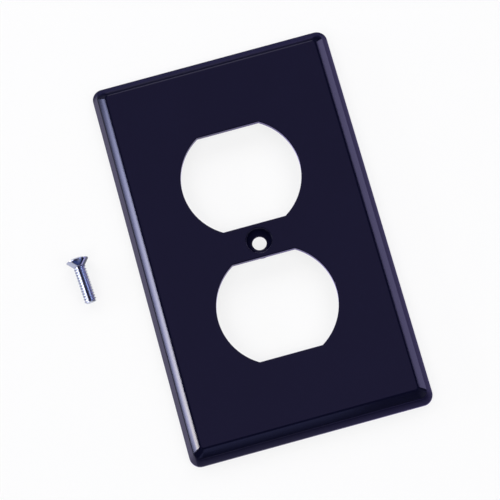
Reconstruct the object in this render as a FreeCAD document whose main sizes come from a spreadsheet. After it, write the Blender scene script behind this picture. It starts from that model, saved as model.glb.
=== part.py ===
"""Cover plate for a duplex power outlet, with the screw that fastens it lying beside it.

Millimetres. The origin is the middle of the plate in the wall plane, on the screw hole's axis:
X runs across the plate, Y along it, and Z out of the wall. The rim lies on Z = 0.
"""
import FreeCAD, Part
import math
import os
import Sketcher

V = FreeCAD.Vector

# How near two places count as the same one
TOUCH = 1e-3

# Driving sizes: name, value, what it measures
SIZES = [
    ("plate_width", 69.85, "single-gang plate, across"),
    ("plate_length", 114.3, "single-gang plate, along"),
    ("plate_depth", 5.6, "rim to face"),
    ("corner_radius", 3.1, "outer corners in plan"),
    ("rim_land", 1.0, "upright band along the rim"),
    ("ridge_inset", 1.4, "outer edge to the ridge between side and bevel, in plan"),
    ("ridge_height", 3.8, "rim to the ridge"),
    ("ridge_corner_radius", 2.2, "corners of the ridge in plan"),
    ("ridge_radius", 1.2, "rounding of the ridge"),
    ("bevel_inset", 3.8, "outer edge to the face, in plan"),
    ("bevel_crown", 0.08, "how far the bevel bulges at its middle"),
    ("face_corner_radius", 0.8, "corners of the face in plan"),
    ("face_break_radius", 1.0, "bevel into face"),
    ("face_wall", 2.0, "thickness of the face and the bevel"),
    ("side_wall", 1.9, "thickness of the side wall at the rim"),
    ("cavity_corner_radius", 1.2, "inside corners in plan"),
    ("ceiling_setback", 0.7, "edge of the face to the edge of the cavity's ceiling, in plan"),
    ("opening_diameter", 34.2, "outlet opening, round sides"),
    ("opening_flat_cut", 2.6, "how far each flat cuts into the round opening"),
    ("bridge_width", 9.9, "between the two openings, which puts their middles 38.9 apart"),
    ("opening_corner_radius", 0.5, "where the flats meet the round sides"),
    ("opening_edge_radius", 0.3, "front edge of the openings"),
    ("opening_lead_in", 0.4, "back edge of the openings, chamfer"),
    ("collar_setback", 1.5, "opening to the stiffening collar behind it"),
    ("collar_width", 1.2, "stiffening collar, across"),
    ("collar_height", 1.0, "stiffening collar, off the back of the face"),
    ("rib_width", 1.2, "cross ribs, across"),
    ("rib_height", 1.0, "cross ribs, off the back of the face"),
    ("boss_wall", 0.85, "screw boss at the back, around the recess"),
    ("boss_height", 2.0, "screw boss, off the back of the face"),
    ("boss_edge_radius", 0.4, "screw boss, outer edge"),
    ("hole_clearance", 0.6, "screw hole wider than the screw's thread"),
    ("recess_clearance", 0.9, "recess wider than the screw's head"),
    ("recess_wall", 1.3, "straight wall of the recess under the face"),
    ("recess_edge_radius", 0.3, "edge of the recess at the face"),
    ("thread_diameter", 3.5, "screw, over the thread"),
    ("screw_length", 12.7, "screw, widest part of the head to the tip"),
    ("head_diameter", 6.4, "screw head"),
    ("head_land", 0.2, "straight edge of the head"),
    ("head_dome", 0.8, "height of the dome over the head's edge"),
    ("head_angle", 82.0, "whole angle under the head, degrees"),
    ("slot_width", 1.1, "driver slot"),
    ("slot_depth", 1.3, "driver slot, from the top of the dome"),
    ("tip_chamfer", 0.5, "end of the thread"),
    ("screw_offset_x", -50.9, "head of the loose screw from the plate's middle"),
    ("screw_offset_y", 9.0, "head of the loose screw from the plate's middle"),
    ("screw_swing", 3.5, "loose screw against the plate's long side, degrees"),
]


def make_sheet(doc):
    """Write the driving sizes into the sheet, each under its own alias."""
    sheet = doc.addObject("Spreadsheet::Sheet", "Sizes")
    for row, (alias, value, meaning) in enumerate(SIZES, start=1):
        sheet.set("A%d" % row, alias)
        sheet.set("B%d" % row, str(value))
        sheet.set("C%d" % row, meaning)
        sheet.setAlias("B%d" % row, alias)
    doc.recompute()
    return sheet


doc = FreeCAD.newDocument("outlet_cover_plate")
sizes = make_sheet(doc)

# Heights and insets that follow from the driving sizes, as the sheet's own expressions
CEILING = "(Sizes.plate_depth - Sizes.face_wall)"
CAVITY_SHOULDER = "(Sizes.ridge_height - Sizes.face_wall)"
CEILING_INSET = "(Sizes.bevel_inset + Sizes.ceiling_setback)"
BEVEL_MIDDLE_INSET = "((Sizes.ridge_inset + Sizes.bevel_inset) / 2)"
BEVEL_MIDDLE_HEIGHT = "((Sizes.ridge_height + Sizes.plate_depth) / 2 + Sizes.bevel_crown)"
BEVEL_MIDDLE_RADIUS = "((Sizes.ridge_corner_radius + Sizes.face_corner_radius) / 2)"
OPENING_RADIUS = "(Sizes.opening_diameter / 2)"
OPENING_RISE = "(Sizes.opening_diameter / 2 - Sizes.opening_flat_cut)"
HALF_BRIDGE = "(Sizes.bridge_width / 2)"
HALF_PITCH = "(%s + %s)" % (HALF_BRIDGE, OPENING_RISE)
SEAT = "(%s - Sizes.boss_height)" % CEILING
HOLE_RADIUS = "((Sizes.thread_diameter + Sizes.hole_clearance) / 2)"
RECESS_RADIUS = "((Sizes.head_diameter + Sizes.recess_clearance) / 2)"
BOSS_RADIUS = "(%s + Sizes.boss_wall)" % RECESS_RADIUS
HEAD_SLOPE = "tan(Sizes.head_angle / 2 * 1 deg)"


def value_of(expression):
    """The number that an expression on the sheet gives, for a sketch's first drawing."""
    result = sizes.evalExpression(expression)
    return float(result.Value if hasattr(result, "Value") else result)


def new_body(name):
    """A body whose label is its node's name."""
    body = doc.addObject("PartDesign::Body", name)
    body.Label = name
    return body


def new_sketch(body, name, role="XY_Plane", height=None):
    """A sketch on one of the body's origin planes, lifted off it by an expression."""
    sketch = body.newObject("Sketcher::SketchObject", name)
    plane = [feature for feature in body.Origin.OriginFeatures if feature.Role == role][0]
    sketch.AttachmentSupport = [(plane, "")]
    sketch.MapMode = "FlatFace"
    if height is not None:
        sketch.setExpression("AttachmentOffset.Base.z", height)
    return sketch


def constrain(sketch, kind, *where, size=None):
    """Add a constraint; one that has a size is bound to the sheet by the expression given."""
    if size is None:
        return sketch.addConstraint(Sketcher.Constraint(kind, *where))
    index = sketch.addConstraint(Sketcher.Constraint(kind, *where, value_of(size)))
    sketch.setExpression("Constraints[%d]" % index, size)
    return index


def draw_rounded_rectangle(sketch, width, length, radius):
    """A rectangle about the origin with round corners, anticlockwise from its lower side."""
    half_w = value_of(width) / 2
    half_l = value_of(length) / 2
    r = value_of(radius)
    corners = [(half_w, -half_l), (half_w, half_l), (-half_w, half_l), (-half_w, -half_l)]
    turns = [(1, 0), (0, 1), (-1, 0), (0, -1)]
    for index, (corner, along) in enumerate(zip(corners, turns)):
        before = V(*corners[index - 1], 0)
        here = V(*corner, 0)
        forward = V(*along, 0)
        inward = V(-along[1], along[0], 0)
        sketch.addGeometry(Part.LineSegment(before + forward * r, here - forward * r))
        centre = here - forward * r + inward * r
        start = math.atan2(-inward.y, -inward.x)
        arc = Part.ArcOfCircle(Part.Circle(centre, V(0, 0, 1), r), start, start + math.pi / 2)
        sketch.addGeometry(arc)
    for side in (0, 2, 4, 6):
        constrain(sketch, "Tangent", side, 2, side + 1, 1)
        constrain(sketch, "Tangent", side + 1, 2, (side + 2) % 8, 1)
    for side in (0, 4):
        constrain(sketch, "Horizontal", side)
    for side in (2, 6):
        constrain(sketch, "Vertical", side)
    for arc in (3, 5, 7):
        constrain(sketch, "Equal", 1, arc)
    constrain(sketch, "Symmetric", 0, 1, 4, 1, -1, 1)
    constrain(sketch, "DistanceX", 6, 1, 2, 1, size=width)
    constrain(sketch, "DistanceY", 0, 1, 4, 1, size=length)
    constrain(sketch, "Radius", 1, size=radius)


def draw_opening(sketch, radius, half_height):
    """The outline of an outlet opening: a circle cut off by a flat above and one below."""
    first = len(sketch.Geometry)
    top, left, bottom, right = range(first, first + 4)
    r = value_of(radius)
    rise = value_of(half_height)
    reach = math.sqrt(r ** 2 - rise ** 2)
    turn = math.asin(rise / r)
    middle = V(0, value_of(HALF_PITCH), 0)
    circle = Part.Circle(middle, V(0, 0, 1), r)
    sketch.addGeometry(Part.LineSegment(middle + V(reach, rise, 0), middle + V(-reach, rise, 0)))
    sketch.addGeometry(Part.ArcOfCircle(circle, math.pi - turn, math.pi + turn))
    sketch.addGeometry(Part.LineSegment(middle + V(-reach, -rise, 0), middle + V(reach, -rise, 0)))
    sketch.addGeometry(Part.ArcOfCircle(circle, -turn, turn))
    constrain(sketch, "Coincident", top, 2, left, 1)
    constrain(sketch, "Coincident", left, 2, bottom, 1)
    constrain(sketch, "Coincident", bottom, 2, right, 1)
    constrain(sketch, "Coincident", right, 2, top, 1)
    constrain(sketch, "Horizontal", top)
    constrain(sketch, "Horizontal", bottom)
    constrain(sketch, "Coincident", left, 3, right, 3)
    constrain(sketch, "PointOnObject", right, 3, -2)
    constrain(sketch, "DistanceY", -1, 1, right, 3, size=HALF_PITCH)
    constrain(sketch, "Radius", right, size=radius)
    constrain(sketch, "DistanceY", right, 3, top, 1, size=half_height)
    constrain(sketch, "DistanceY", bottom, 1, right, 3, size=half_height)


def draw_circle(sketch, radius):
    """A circle about the origin."""
    sketch.addGeometry(Part.Circle(V(0, 0, 0), V(0, 0, 1), value_of(radius)))
    constrain(sketch, "Coincident", 0, 3, -1, 1)
    constrain(sketch, "Radius", 0, size=radius)


def draw_block(sketch, left, right, low, high):
    """A rectangle with each side at its own distance from the origin."""
    x0, x1, y0, y1 = (value_of(side) for side in (left, right, low, high))
    points = [V(x0, y0, 0), V(x1, y0, 0), V(x1, y1, 0), V(x0, y1, 0)]
    first = len(sketch.Geometry)
    for index, point in enumerate(points):
        sketch.addGeometry(Part.LineSegment(point, points[(index + 1) % 4]))
    for index in range(4):
        constrain(sketch, "Coincident", first + index, 2, first + (index + 1) % 4, 1)
    for index in (0, 2):
        constrain(sketch, "Horizontal", first + index)
        constrain(sketch, "Vertical", first + index + 1)
    constrain(sketch, "DistanceX", -1, 1, first, 1, size=left)
    constrain(sketch, "DistanceX", -1, 1, first, 2, size=right)
    constrain(sketch, "DistanceY", -1, 1, first, 1, size=low)
    constrain(sketch, "DistanceY", -1, 1, first + 1, 2, size=high)


def draw_profile(sketch, corners):
    """A closed outline through corners, each given by two expressions: off the axis, and along it."""
    points = [V(value_of(across), value_of(along), 0) for across, along in corners]
    count = len(points)
    for index, point in enumerate(points):
        sketch.addGeometry(Part.LineSegment(point, points[(index + 1) % count]))
    for index, (across, along) in enumerate(corners):
        constrain(sketch, "Coincident", index - 1 if index else count - 1, 2, index, 1)
        if across == "0":
            constrain(sketch, "PointOnObject", index, 1, -2)
        else:
            constrain(sketch, "DistanceX", -1, 1, index, 1, size=across)
        if along == "0":
            constrain(sketch, "PointOnObject", index, 1, -1)
        else:
            constrain(sketch, "DistanceY", -1, 1, index, 1, size=along)


def pad(body, name, sketch, length, downwards=False):
    """Grow the sketch into the body by a length."""
    feature = body.newObject("PartDesign::Pad", name)
    feature.Profile = sketch
    feature.setExpression("Length", length)
    feature.Reversed = downwards
    sketch.Visibility = False
    return feature


def loft(body, kind, name, outlines, ruled):
    """A loft through outlines from the lowest up, added or taken away."""
    feature = body.newObject(kind, name)
    feature.Profile = outlines[0]
    feature.Sections = outlines[1:]
    feature.Ruled = ruled
    return feature


def edge_names(shape, wanted):
    """The names of a shape's edges that pass a test."""
    return ["Edge%d" % number for number, edge in enumerate(shape.Edges, start=1) if wanted(edge)]


def at_height(edge, height):
    """Whether an edge lies flat at a height."""
    box = edge.BoundBox
    return abs(box.ZMin - height) < TOUCH and abs(box.ZMax - height) < TOUCH


def dress(body, kind, name, wanted, size_name, size):
    """Fillet or chamfer the edges of the body's last shape that pass a test."""
    doc.recompute()
    base = body.Tip
    names = edge_names(base.Shape, wanted)
    if not names:
        raise RuntimeError("%s finds no edge" % name)
    feature = body.newObject(kind, name)
    feature.Base = (base, names)
    feature.setExpression(size_name, size)
    doc.recompute()
    return feature


def on_opening(edge):
    """Whether an edge belongs to one of the two openings' outlines."""
    middle = edge.BoundBox.Center
    along = abs(abs(middle.y) - value_of(HALF_PITCH)) < value_of(OPENING_RISE) + TOUCH
    return along and abs(middle.x) < value_of(OPENING_RADIUS) + TOUCH


def outline_at(body, name, inset, height, radius):
    """A rounded rectangle, set in from the plate's edge by one size and lifted off the rim by another."""
    sketch = new_sketch(body, name, height=height)
    width = "(Sizes.plate_width - 2 * %s)" % inset
    length = "(Sizes.plate_length - 2 * %s)" % inset
    draw_rounded_rectangle(sketch, width, length, radius)
    return sketch


def build_shell(body):
    """The outside, from the rim up: land, leaning side, ridge, crowned bevel and face; then the hollow."""
    rim = outline_at(body, "rim_outline", "0", None, "Sizes.corner_radius")
    pad(body, "rim_land", rim, "Sizes.rim_land")
    side_foot = outline_at(body, "side_foot_outline", "0", "Sizes.rim_land", "Sizes.corner_radius")
    side_top = outline_at(body, "side_top_outline", "Sizes.ridge_inset", "Sizes.ridge_height",
                          "Sizes.ridge_corner_radius")
    loft(body, "PartDesign::AdditiveLoft", "side", [side_foot, side_top], ruled=True)
    ridge = outline_at(body, "ridge_outline", "Sizes.ridge_inset", "Sizes.ridge_height",
                       "Sizes.ridge_corner_radius")
    middle = outline_at(body, "bevel_middle_outline", BEVEL_MIDDLE_INSET, BEVEL_MIDDLE_HEIGHT,
                        BEVEL_MIDDLE_RADIUS)
    face = outline_at(body, "face_outline", "Sizes.bevel_inset", "Sizes.plate_depth",
                      "Sizes.face_corner_radius")
    loft(body, "PartDesign::AdditiveLoft", "bevel", [ridge, middle, face], ruled=False)

    ridge_height = value_of("Sizes.ridge_height")
    depth = value_of("Sizes.plate_depth")
    dress(body, "PartDesign::Fillet", "ridge", lambda edge: at_height(edge, ridge_height),
          "Radius", "Sizes.ridge_radius")
    dress(body, "PartDesign::Fillet", "face_break", lambda edge: at_height(edge, depth),
          "Radius", "Sizes.face_break_radius")

    mouth = outline_at(body, "cavity_mouth_outline", "Sizes.side_wall", None,
                       "Sizes.cavity_corner_radius")
    hollow = body.newObject("PartDesign::Pocket", "cavity_mouth")
    hollow.Profile = mouth
    hollow.setExpression("Length", CAVITY_SHOULDER)
    hollow.Reversed = True
    shoulder = outline_at(body, "cavity_shoulder_outline", "Sizes.side_wall", CAVITY_SHOULDER,
                          "Sizes.cavity_corner_radius")
    ceiling = outline_at(body, "cavity_ceiling_outline", CEILING_INSET, CEILING,
                         "Sizes.face_corner_radius")
    loft(body, "PartDesign::SubtractiveLoft", "cavity_bevel", [shoulder, ceiling], ruled=True)


def build_back(body):
    """What stiffens the back of the face: the screw boss, two cross ribs and a collar at each opening."""
    boss = new_sketch(body, "boss_outline", height=CEILING)
    draw_circle(boss, BOSS_RADIUS)
    pad(body, "screw_boss", boss, "Sizes.boss_height", downwards=True)

    collar_middle = "(%s - Sizes.collar_setback - Sizes.collar_width / 2)" % HALF_BRIDGE
    ribs = new_sketch(body, "rib_outline", height=CEILING)
    reach = "(Sizes.plate_width / 2 - %s)" % BEVEL_MIDDLE_INSET
    for sign in ("", "-"):
        low = "%s%s - Sizes.rib_width / 2" % (sign, collar_middle)
        high = "%s%s + Sizes.rib_width / 2" % (sign, collar_middle)
        draw_block(ribs, "-" + reach, reach, low, high)
    pad(body, "cross_ribs", ribs, "Sizes.rib_height", downwards=True)

    collar = new_sketch(body, "collar_outline", height=CEILING)
    setback = " + Sizes.collar_setback"
    outside = setback + " + Sizes.collar_width"
    draw_opening(collar, OPENING_RADIUS + setback, OPENING_RISE + setback)
    draw_opening(collar, OPENING_RADIUS + outside, OPENING_RISE + outside)
    lower = pad(body, "collar", collar, "Sizes.collar_height", downwards=True)
    mirror(body, "collars", lower)


def mirror(body, name, feature):
    """Repeat a feature on the other side of the plate's middle."""
    doc.recompute()
    copy = body.newObject("PartDesign::Mirrored", name)
    copy.Originals = [feature]
    plane = [item for item in body.Origin.OriginFeatures if item.Role == "XZ_Plane"][0]
    copy.MirrorPlane = (plane, [""])
    body.Tip = copy
    doc.recompute()


def build_openings(body):
    """The two outlet openings, with crisp front edges and a lead-in behind."""
    outline = new_sketch(body, "opening_outline", height="Sizes.plate_depth")
    draw_opening(outline, OPENING_RADIUS, OPENING_RISE)
    opening = body.newObject("PartDesign::Pocket", "opening")
    opening.Profile = outline
    opening.Type = "ThroughAll"
    mirror(body, "openings", opening)

    depth = value_of("Sizes.plate_depth")
    ceiling = value_of(CEILING)

    def is_corner(edge):
        box = edge.BoundBox
        upright = box.XLength < TOUCH and box.YLength < TOUCH
        return upright and abs(box.ZMax - depth) < TOUCH and on_opening(edge)

    dress(body, "PartDesign::Fillet", "opening_corners", is_corner,
          "Radius", "Sizes.opening_corner_radius")
    dress(body, "PartDesign::Fillet", "opening_front_edges",
          lambda edge: at_height(edge, depth) and on_opening(edge),
          "Radius", "Sizes.opening_edge_radius")
    dress(body, "PartDesign::Chamfer", "opening_lead_ins",
          lambda edge: at_height(edge, ceiling) and on_opening(edge),
          "Size", "Sizes.opening_lead_in")


def build_screw_recess(body):
    """The screw's own seat: a straight wall, a cone that matches the head, and the hole."""
    recess_floor = "(Sizes.plate_depth - Sizes.recess_wall)"
    cone_foot = "(%s - (%s - %s) / %s)" % (recess_floor, RECESS_RADIUS, HOLE_RADIUS, HEAD_SLOPE)
    profile = new_sketch(body, "recess_profile", role="XZ_Plane")
    draw_profile(profile, [
        ("0", "0"),
        (HOLE_RADIUS, "0"),
        (HOLE_RADIUS, cone_foot),
        (RECESS_RADIUS, recess_floor),
        (RECESS_RADIUS, "2 * Sizes.plate_depth"),
        ("0", "2 * Sizes.plate_depth"),
    ])
    recess = body.newObject("PartDesign::Groove", "screw_recess")
    recess.Profile = profile
    recess.ReferenceAxis = (profile, ["V_Axis"])
    recess.Angle = 360

    depth = value_of("Sizes.plate_depth")
    seat = value_of(SEAT)
    radius = value_of(RECESS_RADIUS)
    boss = value_of(BOSS_RADIUS)

    def is_ring(edge, height, size):
        curve = edge.Curve
        return at_height(edge, height) and hasattr(curve, "Radius") and abs(curve.Radius - size) < TOUCH

    dress(body, "PartDesign::Fillet", "recess_edge", lambda edge: is_ring(edge, depth, radius),
          "Radius", "Sizes.recess_edge_radius")
    dress(body, "PartDesign::Fillet", "boss_edge", lambda edge: is_ring(edge, seat, boss),
          "Radius", "Sizes.boss_edge_radius")


def build_cover_plate():
    """The plate: one moulded shell."""
    body = new_body("cover_plate")
    build_shell(body)
    build_back(body)
    build_openings(body)
    build_screw_recess(body)
    return body


def build_mounting_screw():
    """The oval-head screw, turned about its own Z: head's widest part at 0, tip downwards."""
    body = new_body("mounting_screw")
    head = "Sizes.head_diameter / 2"
    shank = "Sizes.thread_diameter / 2"
    cone_end = "-(Sizes.head_land + (Sizes.head_diameter - Sizes.thread_diameter) / 2 / %s)" % HEAD_SLOPE
    turned = new_sketch(body, "turned_profile", role="XZ_Plane")
    draw_profile(turned, [
        ("0", "-Sizes.screw_length"),
        (shank + " - Sizes.tip_chamfer", "-Sizes.screw_length"),
        (shank, "-Sizes.screw_length + Sizes.tip_chamfer"),
        (shank, cone_end),
        (head, "-Sizes.head_land"),
        (head, "0"),
        ("0", "0"),
    ])
    turning = body.newObject("PartDesign::Revolution", "turned_blank")
    turning.Profile = turned
    turning.ReferenceAxis = (turned, ["V_Axis"])
    turning.Angle = 360

    dome = new_sketch(body, "dome_profile", role="XZ_Plane")
    rise = value_of("Sizes.head_dome")
    half = value_of(head)
    radius = (half ** 2 + rise ** 2) / (2 * rise)
    crown = Part.Arc(V(half, 0, 0), V(radius * math.sin(math.asin(half / radius) / 2),
                                      rise - radius + radius * math.cos(math.asin(half / radius) / 2), 0),
                     V(0, rise, 0))
    dome.addGeometry(Part.LineSegment(V(0, rise, 0), V(0, 0, 0)))
    dome.addGeometry(Part.LineSegment(V(0, 0, 0), V(half, 0, 0)))
    dome.addGeometry(crown)
    constrain(dome, "Coincident", 0, 2, 1, 1)
    constrain(dome, "Coincident", 1, 2, 2, 1)
    constrain(dome, "Coincident", 2, 2, 0, 1)
    constrain(dome, "Coincident", 1, 1, -1, 1)
    constrain(dome, "PointOnObject", 0, 1, -2)
    constrain(dome, "PointOnObject", 1, 2, -1)
    constrain(dome, "PointOnObject", 2, 3, -2)
    constrain(dome, "DistanceX", -1, 1, 1, 2, size=head)
    constrain(dome, "DistanceY", -1, 1, 0, 1, size="Sizes.head_dome")
    crown_turn = body.newObject("PartDesign::Revolution", "head_crown")
    crown_turn.Profile = dome
    crown_turn.ReferenceAxis = (dome, ["V_Axis"])
    crown_turn.Angle = 360

    slot = new_sketch(body, "slot_outline", height="Sizes.head_dome")
    draw_block(slot, "-Sizes.head_diameter", "Sizes.head_diameter",
               "-Sizes.slot_width / 2", "Sizes.slot_width / 2")
    cut = body.newObject("PartDesign::Pocket", "driver_slot")
    cut.Profile = slot
    cut.setExpression("Length", "Sizes.slot_depth")
    return body


def lay_down(body):
    """Lay the screw on the wall plane's level, on the edge of its head and the end of its thread."""
    head = value_of("Sizes.head_diameter / 2")
    shank = value_of("Sizes.thread_diameter / 2")
    land = value_of("Sizes.head_land")
    reach = value_of("Sizes.screw_length - Sizes.tip_chamfer")
    tilt = math.degrees(math.atan2(head - shank, reach - land))
    height = head * math.cos(math.radians(tilt)) + land * math.sin(math.radians(tilt))
    tip_down = FreeCAD.Rotation(V(1, 0, 0), -90 + tilt)
    swing = FreeCAD.Rotation(V(0, 0, 1), value_of("Sizes.screw_swing"))
    place = V(value_of("Sizes.screw_offset_x"), value_of("Sizes.screw_offset_y"), height)
    body.Placement = FreeCAD.Placement(place, swing * tip_down)


def check_document():
    """Stop when an object has failed or a sub-part has no sound solid."""
    for item in doc.Objects:
        if "Invalid" in item.State or "Error" in item.State:
            raise RuntimeError("%s has failed" % item.Name)


plate = build_cover_plate()
screw = build_mounting_screw()
doc.recompute()
lay_down(screw)
doc.recompute()
check_document()

os.makedirs("parts", exist_ok=True)
for body in (plate, screw):
    shape = body.Shape
    if shape.isNull() or not shape.isValid() or len(shape.Solids) != 1:
        raise RuntimeError("%s is not one sound solid" % body.Label)
    print(body.Label, "volume %.2f" % shape.Volume, shape.BoundBox)
    shape.exportStep("parts/%s.step" % body.Label)
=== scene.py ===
"""The look of a duplex outlet's cover plate and its loose screw, on a pale table in soft light."""
import math

import bpy
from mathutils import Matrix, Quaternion, Vector


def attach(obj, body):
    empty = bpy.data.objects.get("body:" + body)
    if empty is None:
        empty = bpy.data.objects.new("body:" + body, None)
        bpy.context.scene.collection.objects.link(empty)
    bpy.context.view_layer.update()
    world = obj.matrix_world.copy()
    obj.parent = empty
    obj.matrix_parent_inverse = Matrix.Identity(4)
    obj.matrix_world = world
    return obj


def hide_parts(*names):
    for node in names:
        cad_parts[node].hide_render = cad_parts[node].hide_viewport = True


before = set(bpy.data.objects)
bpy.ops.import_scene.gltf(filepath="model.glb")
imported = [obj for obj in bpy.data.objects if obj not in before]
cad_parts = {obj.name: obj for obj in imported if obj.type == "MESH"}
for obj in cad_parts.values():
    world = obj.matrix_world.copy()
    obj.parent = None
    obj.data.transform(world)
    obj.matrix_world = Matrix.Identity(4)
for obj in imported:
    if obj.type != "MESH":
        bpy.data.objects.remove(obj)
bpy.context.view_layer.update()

MM = 0.001

# The photograph's camera, worked out from the plate's own edges and a frame 500 pixels wide
FRAME_WIDTH_PX = 500.0
FOCAL_LENGTH_PX = 2624.5
SENSOR_WIDTH = 36.0
CAMERA_PLACE = Vector((-28.77, -201.43, 714.69)) * MM
CAMERA_AIM = Vector((-3.19, -2.05, 5.5)) * MM
CAMERA_ROLL = math.radians(-8.22)
CLIP_START = 10.0 * MM
CLIP_END = 20000.0 * MM

# The screw's thread, 3.5 mm across and 32 to the inch, and the wider bar that shapes its tip
THREAD_RADIUS = 1.75 * MM
ROOT_RADIUS = 1.40 * MM
THREAD_PITCH = 0.794 * MM
SCREW_LENGTH = 12.7 * MM
TIP_CHAMFER = 0.5 * MM
BAR_RADIUS = 1.2 * THREAD_RADIUS

# The crest is made of the points this near to the middle of a pitch, drawn together this much
CREST_REACH = 0.22 * THREAD_PITCH
CREST_NARROWING = 0.75

# The thread is wound from below the tip to inside the head's cone, and then cut level
STARTS_BELOW_TIP = 1.3 * THREAD_PITCH
ENDS_IN_CONE = 0.4 * MM
STEPS_TO_THE_TURN = 48

# Its 82 degree oval head, on a cone that starts inside the thread, with the rings of its dome
NECK_RADIUS = 0.92 * THREAD_RADIUS
HEAD_RADIUS = 3.2 * MM
HEAD_LAND = 0.2 * MM
HEAD_DOME = 0.8 * MM
HEAD_SLOPE = math.tan(math.radians(41.0))
DOME_RINGS = (0.88, 0.74, 0.58, 0.40, 0.20)
SLOT_WIDTH = 1.1 * MM
SLOT_DEPTH = 1.3 * MM
SLOT_CUTTER_HEIGHT = 3.0 * MM

# Where its edges are rounded, and where its faces shade as one
EDGE_ROUND = 0.06 * MM
SHARP_FROM = math.radians(35.0)
SMOOTH_UP_TO = math.radians(32.0)

# How near two of its points count as one, while it is wound and cut, and when it is finished
TOUCH = 0.001 * MM
WELD = 0.002 * MM

# It lies on the edge of its head and the end of its thread
SCREW_TILT = math.atan2(HEAD_RADIUS - THREAD_RADIUS, SCREW_LENGTH - TIP_CHAMFER - HEAD_LAND)
SCREW_SWING = math.radians(3.5)
SCREW_HEIGHT = HEAD_RADIUS * math.cos(SCREW_TILT) + HEAD_LAND * math.sin(SCREW_TILT)
SCREW_PLACE = Vector((-50.9 * MM, 9.0 * MM, SCREW_HEIGHT))

# The plate's front is polished by its mould; from its ridge down, and behind, it is satin
SATIN_BELOW = 3.55 * MM
POLISH_FADE = 0.4 * MM
SATIN_GLOSS = 0.06

# The satin keeps some gloss at its foot, less with every bit of height
FOOT_GLOSS = 0.5
FOOT_FADE = 8.0 * MM

# Painted reflection and shade: the upper edge is duller, the right side glossier, and the left side nearly as
# polished as the front
DULL_FROM = 53.5 * MM
DULL_FADE = 1.5 * MM
PAINTED_SHADE_DULLING = 0.93
SIDE_FROM = 33.0 * MM
SIDE_FADE = 0.5 * MM
RIGHT_PAINTED_REFLECTION = 0.18
LEFT_PAINTED_REFLECTION = 0.90

# The colours of its plastic, polished and satin (a lit and a shaded copy, for painted shade), and the cast of
# what it mirrors
DEEP_NAVY = (0.0026, 0.0027, 0.0122, 1.0)
NAVY = (0.0034, 0.0035, 0.0152, 1.0)
LIT_SATIN = (0.0150, 0.0140, 0.0420, 1.0)
SHADED_SATIN = (0.0036, 0.0036, 0.0160, 1.0)
MIRROR_CAST = (0.80, 0.77, 1.0, 1.0)

# The colours of the screw's zinc plate
GREY_ZINC = (0.34, 0.36, 0.50, 1.0)
PALE_ZINC = (0.50, 0.53, 0.68, 1.0)

# The relief of fine moulded or plated skin, and of satin
GRAIN_HEIGHT = 0.002 * MM
GRIT_HEIGHT = 0.008 * MM

# The table, a hair under the plate's rim
TABLE_RADIUS = 3000.0 * MM
TABLE_DROP = 0.05 * MM
TABLE_GREY = (0.86, 0.86, 0.86, 1.0)

# How much of it shows plain white, looked at and in reflections; the rest takes the light
WHITE_SEEN = 0.8
WHITE_MIRRORED = 0.8

# Painted shade: in reflections it turns lavender, part of the way beside the screw and all the way past the
# plate
PAINTED_LAVENDER_SHADE = (1.03, 0.84, 2.0, 1.0)
LAVENDER_SHADE_BY_SCREW = (-47.0 * MM, -41.0 * MM)
MOST_SHADE_BY_SCREW = 0.4
LAVENDER_SHADE_PAST_PLATE = (-36.0 * MM, 34.0 * MM)

# Painted shadow of the screw: in reflections a nearly dark strip between the screw and the plate; and a
# painted pool of light, gone far off
SCREW_SHADOW_LEFT_EDGE = (-48.5 * MM, -47.0 * MM)
SCREW_SHADOW_RIGHT_EDGE = (-40.0 * MM, -41.5 * MM)
SCREW_SHADOW_DARKNESS = 0.9
LIGHT_POOL_FADE = (300.0 * MM, 120.0 * MM)

# The colours of the lamps, and of what they fade to
WHITE = (1.0, 1.0, 1.0)
SUNLIGHT = (1.0, 0.96, 0.70)
DAYLIGHT = (1.0, 0.98, 0.97)
LAVENDER = (0.68, 0.63, 1.0)
PALE_LAVENDER = (0.88, 0.85, 1.0)
VIOLET = (0.69, 0.605, 1.0)
CLEAR_BLUE = (0.51, 0.575, 1.0)
SKY_BLUE = (0.55, 0.64, 1.0)
DEEP_BLUE = (0.15, 0.3, 1.0)
BLUER = (1.0, 1.175, 2.42)

# Where a window's light starts over its sill and where it is full, and what is left below
SILL = (0.30, 0.7545)
BELOW_SILL = 0.04

# The dim room: its glow above and below, with paler stretches low in two opposite corners
ROOM_COLOUR = (0.9, 0.92, 1.0, 1.0)
GLOW_ABOVE = 0.04
GLOW_BELOW = 0.7
HORIZON = (0.01, -0.10)
CORNER_GLOW = 0.6
CORNER_FOOT = 0.05
CORNER_PEAK = 0.35
CORNER_TOP = 0.65


def add_camera():
    """A long lens, high above the near end of the plate and turned a little about its own axis."""
    data = bpy.data.cameras.new("photo_camera")
    data.sensor_width = SENSOR_WIDTH
    data.lens = FOCAL_LENGTH_PX * SENSOR_WIDTH / FRAME_WIDTH_PX
    data.clip_start = CLIP_START
    data.clip_end = CLIP_END
    camera = bpy.data.objects.new("photo_camera", data)
    bpy.context.scene.collection.objects.link(camera)
    look = (CAMERA_AIM - CAMERA_PLACE).to_track_quat("-Z", "Y")
    camera.rotation_mode = "QUATERNION"
    camera.rotation_quaternion = look @ Quaternion((0, 0, 1), CAMERA_ROLL)
    camera.location = CAMERA_PLACE
    bpy.context.scene.camera = camera


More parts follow.
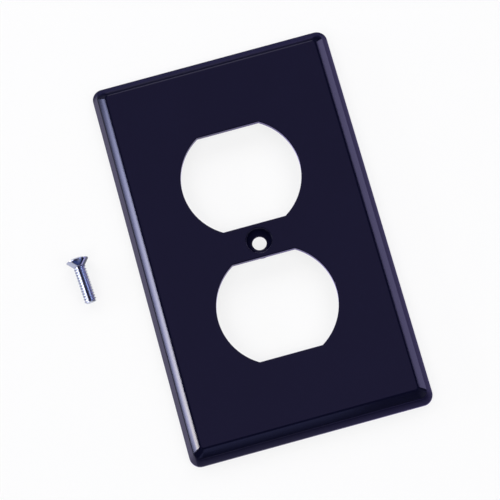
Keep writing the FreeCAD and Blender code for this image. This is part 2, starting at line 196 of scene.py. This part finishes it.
class Value:
    """A shader socket that takes part in sums, so that a pattern reads as a formula."""

    def __init__(self, build, socket):
        self.build = build
        self.socket = socket

    def _math(self, operation, *inputs):
        return self.build.node("ShaderNodeMath", {"operation": operation}, *inputs)

    def __add__(self, other):
        return self._math("ADD", self, other)

    def __radd__(self, other):
        return self._math("ADD", other, self)

    def __sub__(self, other):
        return self._math("SUBTRACT", self, other)

    def __rsub__(self, other):
        return self._math("SUBTRACT", other, self)

    def __mul__(self, other):
        return self._math("MULTIPLY", self, other)

    def __rmul__(self, other):
        return self._math("MULTIPLY", other, self)

    def __truediv__(self, other):
        return self._math("DIVIDE", self, other)

    def __pow__(self, other):
        return self._math("POWER", self, other)

    def at_most(self, other):
        """The smaller of two values."""
        return self._math("MINIMUM", self, other)

    def at_least(self, other):
        """The larger of two values."""
        return self._math("MAXIMUM", self, other)

    def rise(self, start, end):
        """0 at the start and before it, 1 at the end and past it, and even between them."""
        return ((self - start) / (end - start)).at_least(0.0).at_most(1.0)


class Finish:
    """The nodes of a material, a lamp or the world, under construction."""

    def __init__(self, owner):
        owner.use_nodes = True
        self.owner = owner
        self.tree = owner.node_tree
        self.tree.nodes.clear()

    def node(self, kind, settings, *values, output=0, **named):
        """Any node: its settings first, then the values or links of its sockets; None leaves one be."""
        node = self.tree.nodes.new(kind)
        for key, setting in settings.items():
            setattr(node, key, setting)
        for key, value in list(enumerate(values)) + list(named.items()):
            socket = node.inputs[key if isinstance(key, int) else key.replace("_", " ")]
            if isinstance(value, Value):
                self.tree.links.new(value.socket, socket)
            elif value is not None:
                socket.default_value = value
        return Value(self, node.outputs[output]) if node.outputs else None

    def split(self, vector):
        """The three parts of a vector."""
        return [self.node("ShaderNodeSeparateXYZ", {}, vector, output=axis) for axis in "XYZ"]

    def place(self):
        """Where a point of the piece lies, in metres."""
        return self.node("ShaderNodeTexCoord", {}, output="Object")

    def noise(self, lumps, detail):
        """Cloudy noise over the piece, with so many lumps to the metre."""
        return self.node("ShaderNodeTexNoise", {}, Vector=self.place(), Scale=lumps, Detail=detail,
                         output="Fac")

    def blend(self, mask, low, high):
        """One colour where the mask is 0 and another where it is 1."""
        unused = [None] * 5
        return self.node("ShaderNodeMix", {"data_type": "RGBA"}, mask, *unused, low, high, output=2)

    def bump(self, pattern, height, strength):
        """Relief of a height given in metres."""
        return self.node("ShaderNodeBump", {}, Height=pattern, Distance=height, Strength=strength)

    def ray(self, kind):
        """1 where a ray of one kind looks, and 0 elsewhere."""
        return self.node("ShaderNodeLightPath", {}, output="Is " + kind + " Ray")

    def emission(self, colour, strength):
        """A glow that needs no light."""
        return self.node("ShaderNodeEmission", {}, Color=colour, Strength=strength)

    def shader(self, **sockets):
        """A surface of one kind."""
        return self.node("ShaderNodeBsdfPrincipled", {}, **sockets)

    def surface(self, shader):
        """The finished surface."""
        self.node("ShaderNodeOutputMaterial", {}, shader)
        return self.owner


def glossy_plate():
    """Hard moulded plastic, almost black with a navy cast, polished by its mould; its satin has painted
    shade, its gloss painted reflection by side.
    """
    finish = Finish(bpy.data.materials.new("gloss_navy_plastic"))
    cloud = finish.noise(lumps=60.0, detail=3.0)
    grain = finish.noise(lumps=2600.0, detail=2.0)
    grit = finish.noise(lumps=1500.0, detail=3.0)
    across, along, height = finish.split(finish.place())
    upper_edge = along.rise(DULL_FROM, DULL_FROM + DULL_FADE)
    right_side = across.rise(SIDE_FROM, SIDE_FROM + SIDE_FADE)
    left_side = across.rise(-SIDE_FROM, -SIDE_FROM - SIDE_FADE)

    front = finish.shader(Base_Color=finish.blend(cloud, DEEP_NAVY, NAVY), Roughness=0.09 + 0.03 * cloud,
                          IOR=1.4, Specular_Tint=MIRROR_CAST, Normal=finish.bump(grain, GRAIN_HEIGHT, 0.4))

    # Painted shade darkens the satin towards the ridge, a little unevenly, and painted light keeps it pale
    # along the upper edge
    painted_shade_and_mottle = 1.3 * height / SATIN_BELOW + 0.3 * grit - 0.5 - 1.2 * upper_edge
    side = finish.shader(Base_Color=finish.blend(painted_shade_and_mottle, LIT_SATIN, SHADED_SATIN), Roughness=0.45 + 0.1 * grit,
                         Specular_IOR_Level=0.0, Normal=finish.bump(grit, GRIT_HEIGHT, 0.5))

    polish = ((height - SATIN_BELOW) / POLISH_FADE).at_least(FOOT_GLOSS - height / FOOT_FADE)
    # Painted reflection: the gloss is raised on the left and right sides and cut along the upper edge
    polish = polish.at_least(SATIN_GLOSS + RIGHT_PAINTED_REFLECTION * right_side + LEFT_PAINTED_REFLECTION * left_side).at_most(1.0)
    polish = polish * (1.0 - PAINTED_SHADE_DULLING * upper_edge)
    return finish.surface(finish.node("ShaderNodeMixShader", {}, polish, side, front))


def bright_zinc():
    """Bright zinc plate over steel."""
    finish = Finish(bpy.data.materials.new("bright_zinc_plate"))
    cloud = finish.noise(lumps=900.0, detail=3.0)
    grain = finish.noise(lumps=4000.0, detail=2.0)
    return finish.surface(finish.shader(Base_Color=finish.blend(cloud, GREY_ZINC, PALE_ZINC),
                                        Roughness=0.09 + 0.08 * cloud, Metallic=1.0,
                                        Normal=finish.bump(grain, GRAIN_HEIGHT, 0.4)))


def pale_table():
    """A pale card that keeps its shadows, white where one looks, with painted shade and light where gloss
    mirrors it.
    """
    finish = Finish(bpy.data.materials.new("pale_table"))
    card = finish.node("ShaderNodeBsdfDiffuse", {}, Color=TABLE_GREY)
    seen, mirrored, through = finish.ray("Camera"), finish.ray("Glossy"), finish.ray("Transmission")
    x, y, _ = finish.split(finish.place())

    # Seen only in reflections: painted lavender shade, the screw's painted shadow and a painted pool of light
    cast = x.rise(*LAVENDER_SHADE_BY_SCREW).at_most(MOST_SHADE_BY_SCREW).at_least(x.rise(*LAVENDER_SHADE_PAST_PLATE))
    colour = finish.blend(cast * (1.0 - seen), (*WHITE, 1.0), PAINTED_LAVENDER_SHADE)
    strip = x.rise(*SCREW_SHADOW_LEFT_EDGE).at_most(x.rise(*SCREW_SHADOW_RIGHT_EDGE))
    light_pool = ((x * x + y * y) ** 0.5).rise(*LIGHT_POOL_FADE)
    glow = finish.emission(colour, seen.at_least(light_pool - SCREW_SHADOW_DARKNESS * strip))

    share = (seen * WHITE_SEEN).at_least(mirrored.at_least(through) * WHITE_MIRRORED)
    return finish.surface(finish.node("ShaderNodeMixShader", {}, share, card, glow))


def paint(piece, material):
    """Give a piece one material all over."""
    piece.data.materials.clear()
    piece.data.materials.append(material)


def deselect():
    """Leave nothing selected, as an operator acts on all that is."""
    bpy.ops.object.select_all(action="DESELECT")


def take(piece):
    """Select one piece alone and make it the active one."""
    deselect()
    piece.select_set(True)
    bpy.context.view_layer.objects.active = piece


def settle():
    """Put the place, turn and size of the piece in hand into its mesh."""
    bpy.ops.object.transform_apply(location=True, rotation=True, scale=True)


def edit(piece):
    """Open a piece for mesh work with all its points selected."""
    take(piece)
    bpy.ops.object.mode_set(mode="EDIT")
    bpy.ops.mesh.select_mode(type="VERT")
    pick_all()


def leave():
    """End the mesh work on the piece in hand."""
    bpy.ops.object.mode_set(mode="OBJECT")


def pick_all():
    """Select every point of the piece in hand."""
    bpy.ops.mesh.select_all(action="SELECT")


def pick(piece, wanted):
    """Select only the points of the piece in hand that pass a test of their place."""
    bpy.ops.mesh.select_all(action="DESELECT")
    leave()
    for point in piece.data.vertices:
        point.select = wanted(point.co)
    bpy.ops.object.mode_set(mode="EDIT")


def face_outwards():
    """Turn every face of the piece in hand outwards."""
    pick_all()
    bpy.ops.mesh.normals_make_consistent(inside=False)


def apply_modifier(piece, kind, **settings):
    """Add one modifier to a piece and apply it."""
    take(piece)
    modifier = piece.modifiers.new(kind.lower(), kind)
    for key, setting in settings.items():
        setattr(modifier, key, setting)
    bpy.ops.object.modifier_apply(modifier=modifier.name)


def combine(piece, other, operation):
    """Join, cut or trim a piece with another one, which is then gone."""
    apply_modifier(piece, "BOOLEAN", operation=operation, object=other, solver="EXACT")
    bpy.data.objects.remove(other, do_unlink=True)


def step_ring(lift, size):
    """Raise the selected ring on new walls, and make it larger or smaller."""
    bpy.ops.mesh.extrude_region_move(TRANSFORM_OT_translate={"value": (0, 0, lift)})
    bpy.ops.transform.resize(value=(size, size, 1.0))


def thread_outline(foot):
    """One pitch of the thread's outline, an upright line with the crest drawn out in its middle."""
    middle = foot + THREAD_PITCH / 2
    deselect()
    bpy.ops.mesh.primitive_plane_add(size=THREAD_PITCH, rotation=(math.pi / 2, 0, 0),
                                     location=(ROOT_RADIUS - THREAD_PITCH / 2, 0, middle))
    outline = bpy.context.object
    settle()
    edit(outline)
    pick(outline, lambda place: place.x < ROOT_RADIUS - THREAD_PITCH / 2)
    bpy.ops.mesh.delete(type="VERT")
    pick_all()
    bpy.ops.mesh.subdivide(number_cuts=6)
    pick(outline, lambda place: abs(place.z - middle) < CREST_REACH)
    bpy.ops.transform.translate(value=(THREAD_RADIUS - ROOT_RADIUS, 0, 0))
    bpy.ops.transform.resize(value=(1, 1, CREST_NARROWING))
    leave()
    return outline


def threaded_shank():
    """The rolled thread: one pitch of its outline wound up the screw, cut level at both ends."""
    foot = -SCREW_LENGTH - STARTS_BELOW_TIP
    top = -HEAD_LAND - (HEAD_RADIUS - THREAD_RADIUS) / HEAD_SLOPE + ENDS_IN_CONE
    shank = thread_outline(foot)
    apply_modifier(shank, "SCREW", axis="Z", angle=2 * math.pi, screw_offset=THREAD_PITCH,
                   iterations=math.ceil((top - foot) / THREAD_PITCH), steps=STEPS_TO_THE_TURN,
                   render_steps=STEPS_TO_THE_TURN, use_merge_vertices=True, merge_threshold=TOUCH)
    edit(shank)
    bpy.ops.mesh.remove_doubles(threshold=WELD)
    for height, outer_side in ((-SCREW_LENGTH, -1), (top, 1)):
        pick_all()
        bpy.ops.mesh.bisect(plane_co=(0, 0, height), plane_no=(0, 0, outer_side), use_fill=True,
                            clear_outer=True, threshold=TOUCH / 2)
    face_outwards()
    leave()
    return shank


def trimming_bar():
    """What the thread is trimmed to: a round bar wider than it, with the screw's chamfer at its tip."""
    deselect()
    bpy.ops.mesh.primitive_cylinder_add(vertices=64, radius=BAR_RADIUS, depth=SCREW_LENGTH,
                                        location=(0, 0, -SCREW_LENGTH / 2))
    bar = bpy.context.object
    settle()
    edit(bar)
    pick(bar, lambda place: place.z < -SCREW_LENGTH / 2)
    bpy.ops.mesh.bevel(offset=TIP_CHAMFER + BAR_RADIUS - THREAD_RADIUS, segments=3, profile=0.3)
    leave()
    return bar


def domed_cone():
    """The head before its slot is cut: a cone, a narrow land and a dome, raised ring by ring."""
    foot = HEAD_LAND + (HEAD_RADIUS - NECK_RADIUS) / HEAD_SLOPE
    deselect()
    bpy.ops.mesh.primitive_circle_add(vertices=96, radius=NECK_RADIUS, fill_type="NGON",
                                      location=(0, 0, -foot))
    head = bpy.context.object
    settle()
    edit(head)
    step_ring(foot - HEAD_LAND, HEAD_RADIUS / NECK_RADIUS)
    step_ring(HEAD_LAND, 1.0)
    ball = (HEAD_RADIUS ** 2 + HEAD_DOME ** 2) / (2 * HEAD_DOME)
    radius, height = HEAD_RADIUS, 0.0
    for share in DOME_RINGS:
        next_radius = HEAD_RADIUS * share
        next_height = math.sqrt(ball ** 2 - next_radius ** 2) - (ball - HEAD_DOME)
        step_ring(next_height - height, next_radius / radius)
        radius, height = next_radius, next_height
    face_outwards()
    leave()
    return head


def oval_head():
    """The countersunk head with its dome, slotted for the driver, and with its edges rounded."""
    head = domed_cone()
    deselect()
    bpy.ops.mesh.primitive_cube_add(size=1.0, scale=(4 * HEAD_RADIUS, SLOT_WIDTH, SLOT_CUTTER_HEIGHT),
                                    location=(0, 0, HEAD_DOME - SLOT_DEPTH + SLOT_CUTTER_HEIGHT / 2))
    cutter = bpy.context.object
    settle()
    combine(head, cutter, "DIFFERENCE")
    apply_modifier(head, "BEVEL", width=EDGE_ROUND, segments=2, limit_method="ANGLE", angle_limit=SHARP_FROM)
    return head


def clean(piece):
    """Weld points that lie on each other and cut every face into even triangles, with no sliver left."""
    edit(piece)
    bpy.ops.mesh.remove_doubles(threshold=WELD)
    bpy.ops.mesh.dissolve_degenerate(threshold=WELD / 2)
    bpy.ops.mesh.quads_convert_to_tris(quad_method="BEAUTY", ngon_method="BEAUTY")
    leave()


def machine_screw():
    """The slotted oval-head screw, made upright and then laid where the CAD has it."""
    screw = threaded_shank()
    combine(screw, trimming_bar(), "INTERSECT")
    combine(screw, oval_head(), "UNION")
    clean(screw)
    bpy.ops.object.shade_smooth_by_angle(angle=SMOOTH_UP_TO)
    screw.rotation_euler = (SCREW_TILT - math.pi / 2, 0, SCREW_SWING)
    screw.location = SCREW_PLACE
    settle()
    screw.name = "slotted_oval_screw"
    paint(screw, bright_zinc())
    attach(screw, "root")
    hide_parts("mounting_screw")
    return screw


def add_table():
    """A round pale table, far larger than the picture."""
    deselect()
    bpy.ops.mesh.primitive_circle_add(vertices=96, radius=TABLE_RADIUS, fill_type="NGON",
                                      location=(0, 0, -TABLE_DROP))
    settle()
    table = bpy.context.object
    table.name = "table"
    paint(table, pale_table())


def add_lamp(name, place, aim, size, radiance, colour=WHITE, fade=None, dim_colour=WHITE, mirrored=True,
             only=None):
    """A rectangular soft lamp turned towards a point, as bright as asked where one looks into it.

    A fade turns the two ways across the lamp, each from 0 to 1, into shares of that radiance, and where
    the share is small the lamp's colour is multiplied by the dim colour. A lamp that isn't mirrored fills
    the shade and shows in no gloss. A lamp may light one piece only.
    """
    data = bpy.data.lights.new(name, "AREA")
    data.shape = "RECTANGLE"
    data.size, data.size_y = size
    data.energy = radiance * math.pi * size[0] * size[1]
    data.color = colour
    if fade:
        finish = Finish(data)
        along, up, _ = finish.split(finish.node("ShaderNodeNewGeometry", {}, output="Parametric"))
        share = fade(along, up)
        glow = finish.emission(finish.blend(share, (*dim_colour, 1.0), (*WHITE, 1.0)), share)
        finish.node("ShaderNodeOutputLight", {}, glow)
    lamp = bpy.data.objects.new(name, data)
    bpy.context.scene.collection.objects.link(lamp)
    lamp.visible_glossy = mirrored
    if only:
        group = bpy.data.collections.new(name + "_lights")
        group.objects.link(only)
        lamp.light_linking.receiver_collection = group
    lamp.location = place
    lamp.rotation_euler = (Vector(aim) - Vector(place)).to_track_quat("-Z", "Y").to_euler()


def towards_the_top(along, up):
    """Brightest at one end and in its upper part, as a window seen over a sill."""
    return along * up.rise(*SILL).at_least(BELOW_SILL)


def towards_the_upper_edge(along, up):
    """Almost nothing at the lower edge."""
    return 0.1 + 0.9 * up


def towards_the_lower_edge(along, up):
    """Much dimmer at the upper edge."""
    return 1.0 - 0.7 * up


def towards_the_near_end(along, up):
    """A little brighter at the end nearer the camera."""
    return 0.73 + 0.35 * up


def light_the_plate():
    """Low soft boxes on its four sides and a dim one above, and four unseen ones off its corners."""
    add_lamp("left_box", place=(-0.85, 0.265, 0.21), aim=(0, 0.265, 0.21), size=(0.33, 0.206),
             radiance=32.0, colour=SUNLIGHT, fade=towards_the_top, dim_colour=BLUER)
    add_lamp("right_box", place=(0.85, 0.25, 0.1175), aim=(0, 0.25, 0.1175), size=(0.36, 0.235),
             radiance=3.4, colour=LAVENDER)
    add_lamp("far_box", place=(0.03, 0.69, 0.58), aim=(0, 0, 0), size=(0.25, 0.56),
             radiance=2.4, colour=PALE_LAVENDER, fade=towards_the_lower_edge)
    add_lamp("near_box", place=(-0.44, -0.77, 0.41), aim=(-0.44, 0, 0), size=(1.0, 0.14),
             radiance=1.1, colour=CLEAR_BLUE, fade=towards_the_upper_edge)
    add_lamp("top_box", place=(0.06, 0.50, 1.53), aim=(0, 0, 0), size=(0.8, 0.8),
             radiance=0.53, colour=VIOLET, fade=towards_the_near_end)
    for name, place in (("near_left_box", (-0.55, -0.40, 0.86)), ("near_right_box", (0.56, -0.38, 0.86)),
                        ("far_left_box", (-0.56, 0.78, 0.72)), ("far_right_box", (0.60, 0.78, 0.70))):
        add_lamp(name, place, aim=(0, 0, 0), size=(0.66, 0.66), radiance=3.2, mirrored=False)


def light_the_screw(screw):
    """A window, a piece of sky and a strip of dusk that only the screw mirrors."""
    add_lamp("screw_window", place=(-0.78, 0.03, 0.45), aim=SCREW_PLACE, size=(0.30, 0.75),
             radiance=4.0, colour=DAYLIGHT, only=screw)
    add_lamp("screw_sky", place=(0.50, 0.10, 0.72), aim=SCREW_PLACE, size=(0.30, 0.28),
             radiance=2.6, colour=SKY_BLUE, only=screw)
    add_lamp("screw_dusk", place=(0.03, -0.775, 0.139), aim=SCREW_PLACE, size=(1.1, 0.22),
             radiance=0.22, colour=DEEP_BLUE, only=screw)


def add_room():
    """A dim room, brighter below the horizon and low in two opposite corners."""
    world = bpy.data.worlds.new("studio")
    bpy.context.scene.world = world
    finish = Finish(world)
    x, y, z = finish.split(finish.node("ShaderNodeTexCoord", {}, output="Generated"))
    low_band = z.rise(CORNER_FOOT, CORNER_PEAK).at_most(z.rise(CORNER_TOP, CORNER_PEAK))
    two_corners = (-2.0 * x * y).at_least(0.0)
    room = GLOW_ABOVE + (GLOW_BELOW - GLOW_ABOVE) * z.rise(*HORIZON)
    glow = room + CORNER_GLOW * low_band * two_corners
    finish.node("ShaderNodeOutputWorld", {},
                finish.node("ShaderNodeBackground", {}, Color=ROOM_COLOUR, Strength=glow))


add_camera()
add_table()
paint(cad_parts["cover_plate"], glossy_plate())
light_the_plate()
light_the_screw(machine_screw())
add_room()
bpy.context.scene.view_settings.view_transform = "Standard"
